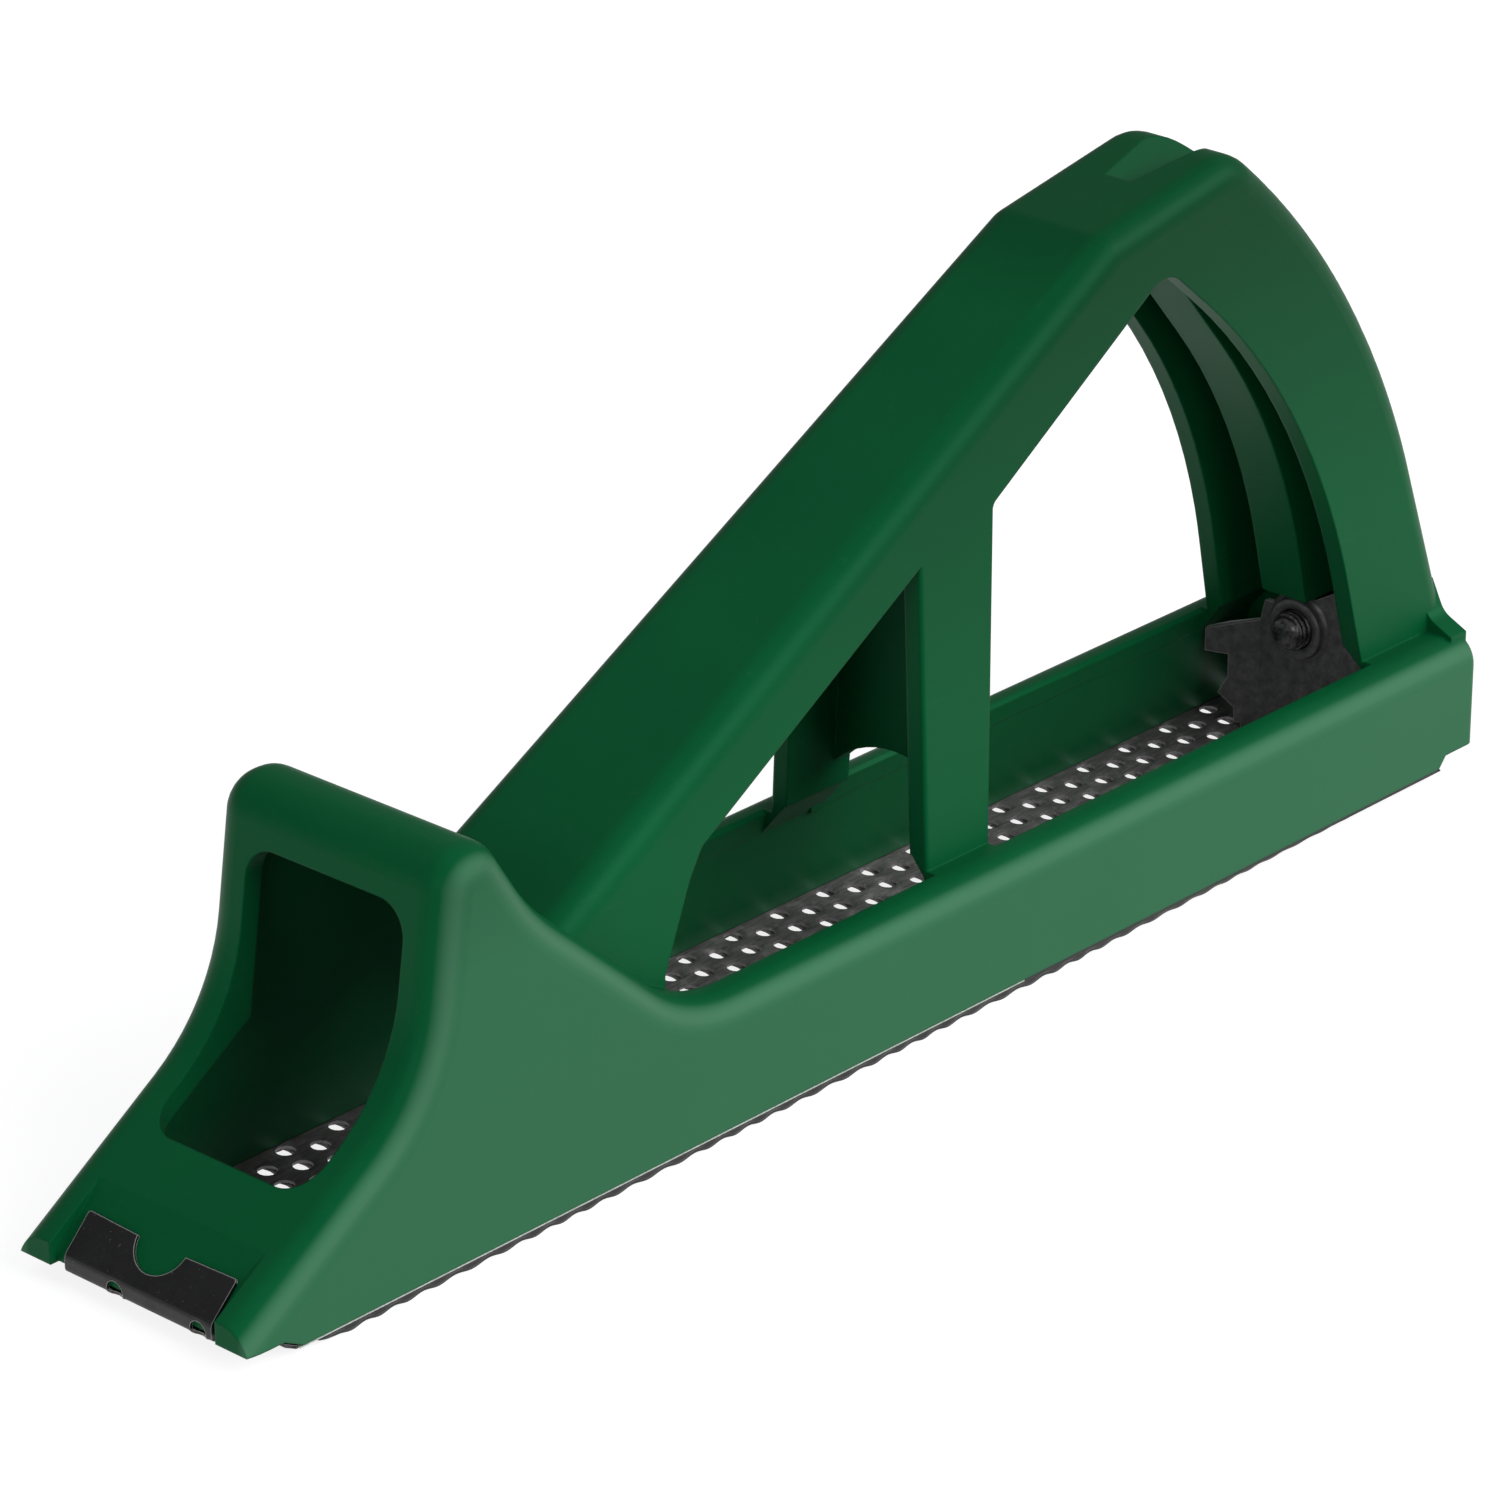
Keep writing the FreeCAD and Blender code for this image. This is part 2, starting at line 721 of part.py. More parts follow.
body_cuts = joined("BodyCuts", [knob_hollow, trough, hollow, knob_gap, recess, notch,
                                bore, seat])
body = cut("Body", solid, body_cuts)
body.Label = "body"

# Tension clip: pressed sheet with a drawn collar and two hooks that hold the blade
clip_plate = doc.addObject("PartDesign::Body", "ClipPlate")
half = [
    ("clip_wing_half_width", "clip_wing_low_height"),
    ("clip_hip_half_width", "clip_wing_low_height"),
    ("clip_hip_half_width", "clip_hip_height"),
    ("clip_foot_half_width", "clip_foot_height"),
    ("clip_toe_half_width", "clip_toe_height"),
    ("clip_toe_half_width", "clip_low_height"),
]
clip_sketch = sketch_on(clip_plate, "ClipOutline", "YZ_Plane", [
    ("-clip_peak_half_width", "clip_peak_height"),
    ("clip_notch_half_width", "clip_notch_height"),
    ("clip_shoulder_half_width", "clip_shoulder_height"),
    ("clip_waist_half_width", "clip_waist_height"),
    ("clip_wing_half_width", "clip_wing_height"),
] + half + [("-" + a, b) for a, b in reversed(half)] + [
    ("-clip_wing_half_width", "clip_wing_height"),
    ("-clip_peak_half_width", "clip_waist_height"),
], "clip_front_x")
pad(clip_plate, "ClipPad", clip_sketch, "clip_sheet", both_ways=False)
collar = cylinder_along("ClipCollar", "clip_collar_radius",
                        "clip_front_x - clip_collar_length",
                        "clip_collar_length + clip_sheet", "screw_height")
clip_parts = [clip_plate, collar]
for side, start in (("Far", "clip_hook_inner"), ("Near", "-clip_hook_outer")):
    clip_parts.append(box(
        "ClipHook" + side, "clip_front_x", "clip_sheet", start,
        "clip_hook_outer - clip_hook_inner", "-clip_hook_drop - blade_gap",
        "clip_low_height * 2 + clip_hook_drop + blade_gap"))
clip_bore = cylinder_along("ClipBore", "clip_bore_radius",
                           "clip_front_x - clip_collar_length * 2",
                           "clip_collar_length * 4", "screw_height")
clip = cut("TensionClip", joined("ClipSolid", clip_parts), clip_bore)
clip.Label = "tension_clip"

# Tension screw: turned rod with a bevelled tip and a round head in the heel
rod = cylinder_along("ScrewRod", "screw_radius", "screw_tip_x",
                     "screw_neck_x - screw_tip_x", "screw_height")
bevel = doc.addObject("Part::Chamfer", "ScrewBevel")
bevel.Base = rod
tip_edges = [index + 1 for index, edge in enumerate(rod.Shape.Edges)
             if near(edge.BoundBox.XMax, size("screw_tip_x")) and len(edge.Vertexes) == 1]
bevel.Edges = [(index, size("screw_tip_bevel"), size("screw_tip_bevel"))
               for index in tip_edges]
doc.recompute()
head = cylinder_along("ScrewHead", "screw_head_radius", "screw_neck_x", "screw_head_length",
                      "screw_height")
screw = joined("TensionScrew", [bevel, head])
screw.Label = "tension_screw"

# Hooked end of the blade: rises from the sole and folds back over the toe, with a notch
strip, last = blank("BladeTongue", [
    ("blade_bend_x", "-blade_gap - blade_sheet"),
    ("lip_front_x", "lip_low_height"),
    ("lip_front_x", "lip_fold_height"),
    ("lip_top_x", "lip_top_height"),
    ("lip_top_x + blade_sheet * %.9f" % math.sin(math.radians(lip_lean)),
     "lip_top_height - blade_sheet * %.9f" % math.cos(math.radians(lip_lean))),
    ("lip_front_x + blade_sheet", "lip_fold_height - blade_sheet / 3"),
    ("lip_front_x + blade_sheet", "lip_low_height + blade_sheet * 4 / 5"),
    ("blade_bend_x", "-blade_gap"),
], "blade_tongue_half_width * 2")
lip_notch = doc.addObject("Part::Cylinder", "LipNotch")
lip_notch.setExpression("Radius", bound("lip_notch_radius"))
lip_notch.setExpression("Height", bound("lip_notch_depth * 2"))
leaning = FreeCAD.Rotation(FreeCAD.Vector(0, 1, 0), -lip_lean)
lip_notch.Placement = FreeCAD.Placement(FreeCAD.Vector(0, 0, 0), leaning)
upward = leaning.multVec(FreeCAD.Vector(0, 0, 1))
lip_notch.setExpression(".Placement.Base.x",
                        bound("lip_notch_x - lip_notch_depth * %.9f" % upward.x))
lip_notch.setExpression(".Placement.Base.z",
                        bound("lip_notch_height - lip_notch_depth * %.9f" % upward.z))
strip_cut = cut("NotchedTongue", strip, lip_notch)

# Blade: one sheet; every hole has a tooth struck downward at its rear edge
top = -size("blade_gap")
bottom = top - size("blade_sheet")
reach = size("hole_radius")
centres = []
across = size("hole_shift_y")
steps = int(size("hole_field_end_x") / across) + 1
for first in range(-steps, steps):
    for second in range(-steps, steps):
        x = (size("hole_first_x") + first * size("hole_shift_x")
             + second * (size("hole_row_pitch_x") - size("hole_shift_x")))
        y = (second - first) * across
        inside = size("blade_bend_x") + reach * 2 < x < size("hole_field_end_x")
        by_slot = (size("clip_front_x") - reach - size("tooth_length") * 2 < x
                   < size("clip_front_x") + size("clip_sheet") + reach * 2
                   and size("clip_hook_inner") - reach * 2 < abs(y)
                   < size("clip_hook_outer") + reach * 2)
        if inside and not by_slot and abs(y) < size("hole_field_half_width"):
            centres.append((x, y))


def ring(points, height):
    corners = [FreeCAD.Vector(x, y, height) for x, y in points]
    return Part.makePolygon(corners + corners[:1])


half_blade = size("overall_width") / 2
tongue_half = size("blade_tongue_half_width")
slot_half = tongue_half + size("blade_tongue_slot")
start = size("blade_start_x")
bend = size("blade_bend_x")
end = size("blade_end_x")
edge_points = [(bend, tongue_half), (bend, -tongue_half), (bend, -slot_half),
               (start, -slot_half), (start, -half_blade), (end, -half_blade),
               (end, half_blade), (start, half_blade), (start, slot_half),
               (bend, slot_half)]
loose = size("blade_slot_clearance")
slots = []
for sign in (-1, 1):
    inner = sign * size("clip_hook_inner") - sign * loose
    outer = sign * size("clip_hook_outer") + sign * loose
    front = size("clip_front_x") - loose
    rear = size("clip_front_x") + size("clip_sheet") + loose
    corners = [(front, min(inner, outer)), (front, max(inner, outer)),
               (rear, max(inner, outer)), (rear, min(inner, outer))]
    slots.append(corners)
tip = bottom - size("tooth_height")


def at(point, height):
    return (point[0], point[1], height)


def face_of(corners):
    places = [FreeCAD.Vector(*corner) for corner in corners]
    return Part.Face(Part.makePolygon(places + places[:1]))


faces = []
top_rings = [ring(edge_points, top)]
bottom_rings = [ring(edge_points, bottom)]
for points in slots:
    top_rings.append(ring(points, top))
    bottom_rings.append(ring(points, bottom))
for x, y in centres:
    front = (x - reach, y)
    right = (x, y - reach)
    rear = (x + reach, y)
    left = (x, y + reach)
    root = (x + reach + size("tooth_length"), y)
    top_rings.append(ring([front, left, rear, right], top))
    bottom_rings.append(ring([front, left, root, right], bottom))
    point = at(rear, tip)
    faces.append(face_of([at(front, top), at(right, top), at(right, bottom),
                          at(front, bottom)]))
    faces.append(face_of([at(left, top), at(front, top), at(front, bottom),
                          at(left, bottom)]))
    faces.append(face_of([at(right, top), at(rear, top), point, at(right, bottom)]))
    faces.append(face_of([at(rear, top), at(left, top), at(left, bottom), point]))
    faces.append(face_of([at(right, bottom), at(root, bottom), point]))
    faces.append(face_of([at(root, bottom), at(left, bottom), point]))
faces.append(Part.Face(top_rings))
faces.append(Part.Face(bottom_rings))
for points in [edge_points] + slots:
    count = len(points)
    for index in range(count):
        if points is edge_points and index == 0:
            continue
        a = points[index]
        b = points[(index + 1) % count]
        faces.append(face_of([at(a, top), at(b, top), at(b, bottom), at(a, bottom)]))
for face in strip_cut.Shape.Faces:
    reach_of = face.BoundBox
    if not (near(reach_of.XMin, bend) and near(reach_of.XMax, bend)):
        faces.append(face)
shell = Part.Shell(faces)
shell.sewShape()
blade_solid = Part.Solid(shell)
if blade_solid.Volume < 0:
    blade_solid = blade_solid.reversed()
blade = doc.addObject("Part::Feature", "Blade")
blade.Shape = blade_solid
blade.Label = "blade"


NODES = (body, blade, clip, screw)
for node in NODES:
    node.setExpression(".Placement.Base.x", bound("-overall_length / 2"))
    node.setExpression(".Placement.Base.z", bound("blade_gap + blade_sheet + tooth_height"))
doc.recompute()

for item in doc.Objects:
    if "Invalid" in item.State or "Error" in item.State:
        raise RuntimeError(item.Name + " did not rebuild")
os.makedirs("parts", exist_ok=True)
for node in NODES:
    shape = node.Shape
    if shape.isNull() or not shape.isValid():
        raise RuntimeError(node.Label + " is not a sound solid")
    print(node.Label, len(shape.Solids), round(shape.Volume, 1), shape.BoundBox)
    shape.exportStep(os.path.join("parts", node.Label + ".step"))
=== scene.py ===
import math
import bmesh
import bpy
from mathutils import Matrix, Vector, geometry


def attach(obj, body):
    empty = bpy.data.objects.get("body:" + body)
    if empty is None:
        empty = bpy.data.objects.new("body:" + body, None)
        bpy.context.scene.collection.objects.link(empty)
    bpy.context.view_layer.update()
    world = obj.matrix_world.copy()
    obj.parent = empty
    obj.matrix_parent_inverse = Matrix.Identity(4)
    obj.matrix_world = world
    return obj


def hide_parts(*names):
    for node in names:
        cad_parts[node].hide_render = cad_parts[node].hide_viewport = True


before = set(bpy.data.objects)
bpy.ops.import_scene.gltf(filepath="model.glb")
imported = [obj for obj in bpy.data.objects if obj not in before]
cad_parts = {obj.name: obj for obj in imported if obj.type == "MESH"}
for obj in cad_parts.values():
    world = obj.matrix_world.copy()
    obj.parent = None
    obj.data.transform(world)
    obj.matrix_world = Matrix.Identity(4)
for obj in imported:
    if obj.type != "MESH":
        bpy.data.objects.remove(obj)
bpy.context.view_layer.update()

# Body: toe ramp, knob, rails and handle are one injection moulding in dark green polystyrene.
# The outer flanks are painted a paler green as painted light, their rounded edges carry a painted
# highlight, and the upper side faces and the top of the handle are darkened with painted shade.
mm = 0.001
handle_green, handle_green_light = "#034B28", "#05502B"
flank_painted_light_green, edge_painted_highlight_green, handle_painted_shade_green, scuff_green = "#2E6344", "#3D6B4F", "#013519", "#4F8060"
flank_from, flank_to = 19.2 * mm, 20.9 * mm
rounding_from, rounding_to = 18.9 * mm, 20.3 * mm
flat_from, flat_to = 20.97 * mm, 20.6 * mm
handle_shade_from, handle_shade_to = 40 * mm, 95 * mm
crown_from, crown_to = 91 * mm, 99 * mm
rounded_by = 0.45 * mm


def linear(code):
    """An sRGB hex colour as linear values with alpha."""
    parts = [int(code[i:i + 2], 16) / 255 for i in (1, 3, 5)]
    return tuple(c / 12.92 if c <= 0.04045 else ((c + 0.055) / 1.055) ** 2.4
                 for c in parts) + (1.0,)


def new_material(name):
    """An empty material and its nodes."""
    made = bpy.data.materials.new(name)
    made.use_nodes = True
    made.node_tree.nodes.clear()
    return made, made.node_tree


def add(tree, kind, values=None, **settings):
    """Adds one node with its settings and its values or links, and returns the node."""
    made = tree.nodes.new(kind)
    for key, value in settings.items():
        setattr(made, key, value)
    for key, value in (values or {}).items():
        socket = [s for s in made.inputs if s.enabled and s.name == key]
        socket = socket[0] if socket else made.inputs[key]
        if isinstance(value, bpy.types.Node):
            value = [s for s in value.outputs if s.enabled][0]
        if isinstance(value, bpy.types.NodeSocket):
            tree.links.new(value, socket)
        else:
            socket.default_value = value
    return made


# Polystyrene off a spark-eroded mould: a satin skin with soft, slightly green lights and no
# sharp reflection. The real grain is near 0.05 mm; it is drawn at 0.45 mm so that it shows.
polystyrene, tree = new_material("satin_polystyrene_moulding")
place = add(tree, "ShaderNodeTexCoord").outputs["Object"]
grain = add(tree, "ShaderNodeTexNoise",
            {"Vector": place, "Scale": 1 / (0.45 * mm), "Detail": 3.0, "Roughness": 0.6})
cloud = add(tree, "ShaderNodeTexNoise",
            {"Vector": place, "Scale": 1 / (28 * mm), "Detail": 4.0, "Roughness": 0.55})
along = add(tree, "ShaderNodeMapping", {"Vector": place, "Scale": (0.25, 1.0, 2.2)})
scuff = add(tree, "ShaderNodeTexNoise",
            {"Vector": along, "Scale": 1 / (2.4 * mm), "Detail": 5.0, "Roughness": 0.7})
cloudy = add(tree, "ShaderNodeMapRange", {"Value": cloud, "From Min": 0.35, "From Max": 0.65})
scuffed = add(tree, "ShaderNodeMapRange", {"Value": scuff, "From Min": 0.62, "From Max": 0.8,
                                           "To Max": 0.1})
spot = add(tree, "ShaderNodeSeparateXYZ", {"Vector": place}).outputs
outward = add(tree, "ShaderNodeMath", {0: spot["Y"]}, operation="ABSOLUTE")
# Painted light: the flanks, out at 19.2 to 20.9 mm either side, are given a paler green.
flank = add(tree, "ShaderNodeMapRange", {"Value": outward, "From Min": flank_from,
                                         "From Max": flank_to})
# Painted highlight: a lighter band along the rounded edges between the flanks and the tops.
rounding = add(tree, "ShaderNodeMapRange", {"Value": outward, "From Min": rounding_from,
                                            "From Max": rounding_to})
flat_side = add(tree, "ShaderNodeMapRange", {"Value": outward, "From Min": flat_from,
                                             "From Max": flat_to})
rub_marks_and_edge_highlight = add(tree, "ShaderNodeMath", {0: rounding, 1: flat_side}, operation="MULTIPLY")
surface = add(tree, "ShaderNodeNewGeometry").outputs["Normal"]
sideways = add(tree, "ShaderNodeSeparateXYZ", {"Vector": surface}).outputs["Y"]
sideways = add(tree, "ShaderNodeMath", {0: sideways}, operation="ABSOLUTE")
# Painted shade: faces turned sideways are darkened more the higher they stand on the handle, and
# the top of the handle is darkened too.
raised = add(tree, "ShaderNodeMapRange", {"Value": spot["Z"], "From Min": handle_shade_from,
                                          "From Max": handle_shade_to})
crown = add(tree, "ShaderNodeMapRange", {"Value": spot["Z"], "From Min": crown_from,
                                         "From Max": crown_to, "To Max": 0.55})
painted_handle_shade = add(tree, "ShaderNodeMath", {0: sideways, 1: raised}, operation="MULTIPLY")
painted_handle_shade = add(tree, "ShaderNodeMath", {0: painted_handle_shade, 1: crown}, operation="MAXIMUM")
tone = add(tree, "ShaderNodeMix", {"Factor": cloudy, "A": linear(handle_green),
                                   "B": linear(handle_green_light)}, data_type="RGBA")
# Mixes in the painted flank light, the painted edge highlight, the painted handle shade and the
# real scuffs.
for share, green in ((flank, flank_painted_light_green), (rub_marks_and_edge_highlight, edge_painted_highlight_green), (painted_handle_shade, handle_painted_shade_green),
                     (scuffed, scuff_green)):
    tone = add(tree, "ShaderNodeMix", {"Factor": share, "A": tone, "B": linear(green)},
               data_type="RGBA")
rough = add(tree, "ShaderNodeMapRange", {"Value": cloud, "From Min": 0.3, "From Max": 0.7,
                                         "To Min": 0.44, "To Max": 0.52})
rough = add(tree, "ShaderNodeMath", {0: rough, 1: scuffed}, operation="ADD")
softened = add(tree, "ShaderNodeBevel", {"Radius": rounded_by}, samples=6)
bump = add(tree, "ShaderNodeBump", {"Strength": 0.12, "Distance": 0.05 * mm,
                                    "Height": grain.outputs["Fac"], "Normal": softened})
shader = add(tree, "ShaderNodeBsdfPrincipled",
             {"Base Color": tone, "Roughness": rough, "IOR": 1.59, "Specular IOR Level": 0.12,
              "Specular Tint": (0.2, 1.0, 0.55, 1.0), "Normal": bump})
add(tree, "ShaderNodeOutputMaterial", {"Surface": shader})
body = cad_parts["body"]
body.data.materials.clear()
body.data.materials.append(polystyrene)

# Blade: one sheet of 0.5 mm steel, punched with slanting rows of round holes and blackened.
# Its front end is narrower, rises and folds back over the toe, and has a half-round cut-out in
# its edge. At the heel it has two slots for the hooks of the clip.
sheet = 0.5 * mm
blade_top = 1.5 * mm
blade_left, blade_right = -117.5 * mm, 117.6 * mm
sheet_half, sheet_corner = 20.4 * mm, 1 * mm
bend_x = -116 * mm
bend_run, bend_step = 0.6 * mm, 0.2 * mm
hook_path = [(-116, 1.0), (-124.1, 2.5), (-124.1, 4.9), (-119.5, 9.5)]
hook_half, hook_corner, slit_outer = 13.4 * mm, 0.3 * mm, 13.8 * mm
notch_radius, notch_outside = 4.4 * mm, 0.2 * mm
hole_radius, dimple = 1.5 * mm, 0.14 * mm
hole_pitch, row_pitch, row_shift, row_start = 9.61, 2.25, 5.44, 9.85
slot_left, slot_right, slot_inner, slot_outer = 108.8 * mm, 110.2 * mm, 6.8 * mm, 10.2 * mm
hook_length = sum(math.dist(a, b) for a, b in zip(hook_path, hook_path[1:])) * mm
hook_end = bend_x - hook_length


def hook_place(back):
    """Place (x, z) on the bent front end, a distance back along the sheet from the bend."""
    for (xa, za), (xb, zb) in zip(hook_path, hook_path[1:]):
        length = math.hypot(xb - xa, zb - za) * mm
        if back <= length or (xb, zb) == hook_path[-1]:
            share = back / length
            return Vector(((xa + (xb - xa) * share) * mm, (za + (zb - za) * share) * mm))
        back -= length


def sheet_place(u, v, drop):
    """Where a point of the flat sheet lies once the front end has been bent."""
    back = bend_x - u
    if back < -bend_run:
        return Vector((u, v, blade_top - sheet - drop))
    spots = [hook_place(back + step * bend_step) if back + step * bend_step > 0
             else Vector((bend_x - (back + step * bend_step), blade_top - sheet))
             for step in range(-3, 4)]
    middle = sum(spots, Vector((0.0, 0.0))) / len(spots)
    return Vector((middle.x, v, middle.y - drop))


# The holes: each row repeats every 9.61 mm and starts 5.44 mm after the last one. None is
# punched near the clip's slots. Two more are in the riser of the front end.
first_hole, last_hole, toe_x = -113.9 * mm, 113.6 * mm, -125
plain_left, plain_right, plain_inner, plain_outer = 105.5 * mm, 113 * mm, 4.8 * mm, 12.2 * mm
rows_each_side, riser_back, riser_sides = 8, 8.9 * mm, (-10.9, 4.2)
holes = []
for row in range(-rows_each_side, rows_each_side + 1):
    x, y = ((row_start + row_shift * row) % hole_pitch + toe_x) * mm, row * row_pitch * mm
    while x < last_hole:
        near_slot = plain_left < x < plain_right and plain_inner < abs(y) < plain_outer
        if x > first_hole and not near_slot:
            holes.append((x, y))
        x += hole_pitch * mm
riser_holes = [(bend_x - riser_back, side * mm) for side in riser_sides]
points, edges = [], []


def cut_along(line, points, edges):
    """Adds a closed line that the flat sheet is cut along."""
    first = len(points)
    points.extend(Vector(p) for p in line)
    edges.extend((first + k, first + (k + 1) % len(line)) for k in range(len(line)))


notch = [(hook_end - notch_outside + notch_radius * math.cos(a), notch_radius * math.sin(a))
         for a in [math.radians(84 - 168 * k / 20) for k in range(21)]]
cut_along([(bend_x, hook_half), (hook_end + hook_corner, hook_half),
           (hook_end, hook_half - hook_corner)] + notch
          + [(hook_end, hook_corner - hook_half), (hook_end + hook_corner, -hook_half),
             (bend_x, -hook_half), (bend_x, -slit_outer), (blade_left, -slit_outer),
             (blade_left, -sheet_half + sheet_corner), (blade_left + sheet_corner, -sheet_half),
             (blade_right - sheet_corner, -sheet_half), (blade_right, -sheet_half + sheet_corner),
             (blade_right, sheet_half - sheet_corner), (blade_right - sheet_corner, sheet_half),
             (blade_left + sheet_corner, sheet_half), (blade_left, sheet_half - sheet_corner),
             (blade_left, slit_outer), (bend_x, slit_outer)], points, edges)
ring_count = 14
for x, y in holes + riser_holes:
    for reach in (1.0, 1.4):
        cut_along([(x + hole_radius * reach * math.cos(2 * math.pi * k / ring_count),
                    y + hole_radius * reach * math.sin(2 * math.pi * k / ring_count))
                   for k in range(ring_count)], points, edges)
for side in (-1, 1):
    cut_along([(slot_left, side * slot_inner), (slot_right, side * slot_inner),
               (slot_right, side * slot_outer), (slot_left, side * slot_outer)], points, edges)

# Lines across the bent end, so that it bends round instead of in flat facets.
margin, line_pitch = 0.05 * mm, 0.35 * mm
steps = int(hook_length / line_pitch)
for step in range(1, steps):
    u = bend_x - hook_length * step / steps
    half = hook_half - margin - max(0.0, hook_end + hook_corner - u)
    ends = [-half, half]
    if u < hook_end + notch_radius - 0.3 * mm:
        off = u - hook_end + notch_outside
        inner = math.sqrt(max(0, notch_radius ** 2 - off ** 2)) + margin
        ends = [-half, -inner, inner, half]
    first = len(points)
    points.extend(Vector((u, v)) for v in ends)
    edges.extend((first + k, first + k + 1) for k in range(0, len(ends), 2))

cell = 5 * mm
holes_in_cell = {}
for x, y in holes + riser_holes:
    holes_in_cell.setdefault((round(x / cell), round(y / cell)), []).append((x, y))


def to_nearest_hole(u, v):
    """Distance from a point of the flat sheet to the middle of the nearest hole."""
    column, row = round(u / cell), round(v / cell)
    return min((math.hypot(u - x, v - y) for i in (-1, 0, 1) for j in (-1, 0, 1)
                for x, y in holes_in_cell.get((column + i, row + j), ())), default=1.0)


def shown(name, form, smooth=False):
    """Puts a finished form into the scene as a named piece."""
    mesh = bpy.data.meshes.new(name)
    form.to_mesh(mesh)
    form.free()
    for face in mesh.polygons:
        face.use_smooth = smooth
    piece = bpy.data.objects.new(name, mesh)
    bpy.context.scene.collection.objects.link(piece)
    return piece


def flat_sheet(form, flat, corners, kept, up):
    """Fills a sheet's kept triangles and turns its upper side to the direction given."""
    for face in flat[2]:
        middle = sum((flat[0][k] for k in face), Vector((0.0, 0.0))) / len(face)
        if kept(middle):
            form.faces.new([corners[k] for k in face])
    bmesh.ops.delete(form, geom=[v for v in form.verts if not v.link_faces], context="VERTS")
    bmesh.ops.recalc_face_normals(form, faces=form.faces)
    if sum(f.normal.dot(up) * f.calc_area() for f in form.faces) < 0:
        bmesh.ops.reverse_faces(form, faces=form.faces)


def metal_of_blade(at):
    """Whether steel is left at this point of the flat sheet."""
    in_slot = slot_left < at.x < slot_right and slot_inner < abs(at.y) < slot_outer
    in_notch = math.hypot(at.x - hook_end + notch_outside, at.y) < notch_radius * 0.98
    return to_nearest_hole(at.x, at.y) > hole_radius * 0.98 and not in_slot and not in_notch


flat = geometry.delaunay_2d_cdt(points, edges, [], 1, 1e-7)
grater = bmesh.new()
corners = []
for p in flat[0]:
    drop = dimple if to_nearest_hole(p.x, p.y) < hole_radius * 1.05 else 0.0
    corners.append(grater.verts.new(sheet_place(p.x, p.y, drop)))
flat_sheet(grater, flat, corners, metal_of_blade, Vector((0, 0, 1)))
blade = shown("grater_blade", grater)
thick = blade.modifiers.new("sheet", "SOLIDIFY")
thick.thickness = sheet
thick.offset = 1.0

# Blackened rolled steel: nearly black oxide on a rolled sheet, with a dull glint. Over most of
# the blade it is painted mid-grey with fine streaks along it and pale rub marks and specks; the
# grey is partly a painted sheen. The bent front end and the outermost strip of each long edge
# keep the near-black, and the edges of the bent front end get a painted highlight. The oxide
# hides most of the metal, so little of it counts as metallic. The real streaks and specks are
# near
# 0.1 mm; they are drawn at 0.5 and 0.35 mm so that they show.
blued, tree = new_material("blackened_rolled_steel")
place = add(tree, "ShaderNodeTexCoord").outputs["Object"]
along = add(tree, "ShaderNodeMapping", {"Vector": place, "Scale": (0.12, 1.0, 1.0)})
rolled = add(tree, "ShaderNodeTexNoise",
             {"Vector": along, "Scale": 1 / (0.5 * mm), "Detail": 4.0, "Roughness": 0.6})
patch = add(tree, "ShaderNodeTexNoise",
            {"Vector": place, "Scale": 1 / (3.5 * mm), "Detail": 6.0, "Roughness": 0.68})
speck = add(tree, "ShaderNodeTexNoise",
            {"Vector": place, "Scale": 1 / (0.35 * mm), "Detail": 2.0, "Roughness": 0.5})
streak = add(tree, "ShaderNodeMapRange", {"Value": rolled, "From Min": 0.3, "From Max": 0.7})
rub_marks_and_edge_highlight = add(tree, "ShaderNodeMapRange", {"Value": patch, "From Min": 0.52, "From Max": 0.70,
                                          "To Max": 0.5})
bare = add(tree, "ShaderNodeMapRange", {"Value": speck, "From Min": 0.70, "From Max": 0.78,
                                        "To Max": 0.5})
spot = add(tree, "ShaderNodeSeparateXYZ", {"Vector": place}).outputs
outward = add(tree, "ShaderNodeMath", {0: spot["Y"]}, operation="ABSOLUTE")
field = add(tree, "ShaderNodeMapRange", {"Value": spot["X"], "From Min": -119 * mm,
                                         "From Max": -114 * mm})
inner = add(tree, "ShaderNodeMapRange", {"Value": outward, "From Min": 20.1 * mm,
                                         "From Max": 19.6 * mm})
field = add(tree, "ShaderNodeMath", {0: field, 1: inner}, operation="MULTIPLY")
surface = add(tree, "ShaderNodeNewGeometry").outputs["Normal"]
# Painted highlight: a light grey along the edges of the bent front end, where the Bevel normal
# turns away from the face's normal.
painted_edge_highlight = add(tree, "ShaderNodeBevel", {"Radius": 0.3 * mm}, samples=8)
painted_edge_highlight = add(tree, "ShaderNodeVectorMath", {0: painted_edge_highlight, 1: surface}, operation="DOT_PRODUCT")
painted_edge_highlight = add(tree, "ShaderNodeMapRange", {"Value": painted_edge_highlight.outputs["Value"], "From Min": 0.97,
                                        "From Max": 0.80})
bent_end = add(tree, "ShaderNodeMapRange", {"Value": spot["X"], "From Min": -115 * mm,
                                            "From Max": -117 * mm})
painted_edge_highlight = add(tree, "ShaderNodeMath", {0: painted_edge_highlight, 1: bent_end}, operation="MULTIPLY")
tone = add(tree, "ShaderNodeMix", {"Factor": streak, "A": linear("#534F50"),
                                   "B": linear("#827D7F")}, data_type="RGBA")
tone = add(tree, "ShaderNodeMix", {"Factor": rub_marks_and_edge_highlight, "A": tone, "B": linear("#B4AFB1")},
           data_type="RGBA")
